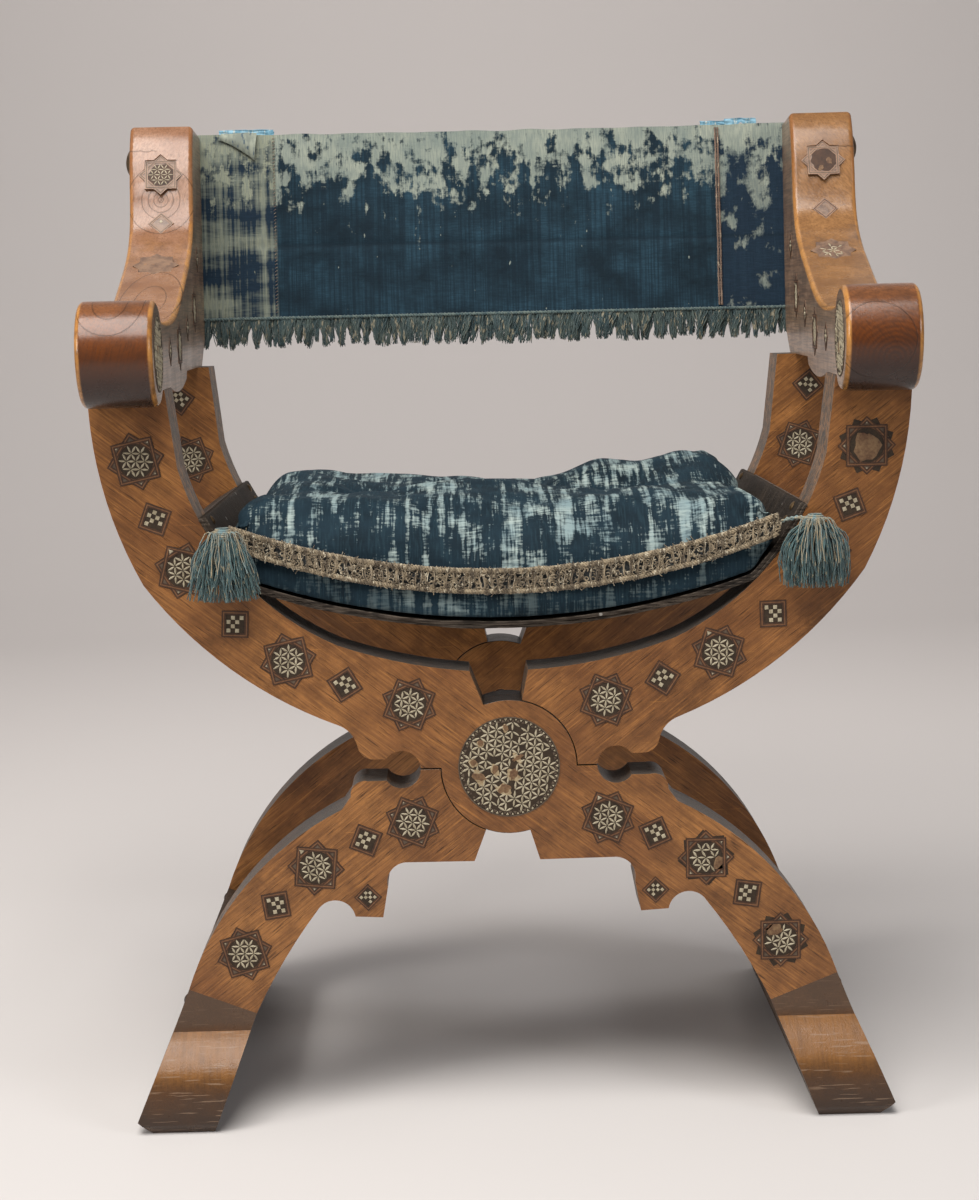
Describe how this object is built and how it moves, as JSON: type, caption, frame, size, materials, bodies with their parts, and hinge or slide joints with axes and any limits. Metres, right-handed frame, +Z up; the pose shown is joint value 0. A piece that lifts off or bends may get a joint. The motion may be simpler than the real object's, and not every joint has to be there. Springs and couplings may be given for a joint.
{
  "type": "dante chair",
  "caption": "Folding armchair of crossed S-curved frames with hub pivots, scrolled arms, runners, sling seat with loose cushion, and cloth back.",
  "frame": {"origin": "on the floor under the middle of the open chair's bounding box", "axes": "+Z up, the sitter faces -Y, +X is the right-hand side seen from the front"},
  "size_m": [0.7482, 0.5586, 0.894],
  "materials": {
    "wood": "waxed walnut, worn pale on the edges",
    "dark_wood": "darker turned and edge wood, semi-gloss",
    "inlay": "dark wood let in with pale bone lozenges",
    "peg_wood": "end grain pegs",
    "nail_brass": "dull domed nail heads",
    "iron": "dark forged iron",
    "seat_leather": "old dark leather, creased",
    "velvet": "teal blue silk velvet, pile worn to a pale ground",
    "fringe": "faded blue green silk threads",
    "braid": "netted gold brown braid",
    "tassel": "faded blue green silk threads"
  },
  "bodies": {
    "frame_b": {"back_fringe": "fringe", "back_sling": "velvet", "cushion_braid": "braid", "front_diamonds_b": "inlay", "front_member_b": "wood", "front_stars_b": "inlay", "left_runner": "dark_wood", "left_runner_nails": "iron", "left_tassel": "tassel", "rear_diamonds_b": "inlay", "rear_member_b": "wood", "rear_stars_b": "inlay", "right_arm": "wood", "right_arm_pegs": "peg_wood", "right_arm_plaques": "inlay", "right_back_nails": "nail_brass", "right_knob_rosette": "inlay", "right_post_boss": "nail_brass", "right_seat_nails": "nail_brass", "right_seat_rail": "wood", "right_tassel": "tassel", "seat_cushion": "velvet", "seat_sling": "seat_leather", "seat_under_sling": "seat_leather"},
    "frame_a": {"front_member_a": "wood", "rear_member_a": "wood", "front_stars_a": "inlay", "front_diamonds_a": "inlay", "rear_stars_a": "inlay", "rear_diamonds_a": "inlay", "front_hub_rosette": "inlay", "front_pivot_pin": "iron", "rear_pivot_pin": "iron", "left_arm": "wood", "left_arm_pegs": "peg_wood", "left_arm_plaques": "inlay", "left_knob_rosette": "inlay", "left_post_boss": "nail_brass", "left_back_nails": "nail_brass", "left_seat_rail": "wood", "left_seat_nails": "nail_brass", "right_runner": "dark_wood", "right_runner_nails": "iron"}
  },
  "joints": [
    {"name": "fold", "type": "hinge", "parent": "frame_b", "child": "frame_a", "pos_m": [0, 0, 0.312], "axis": [0, 1, 0], "range_deg": [0, 30], "deforming": ["seat_sling", "seat_under_sling", "back_sling", "back_fringe", "seat_cushion", "cushion_braid", "left_tassel"]}
  ]
}
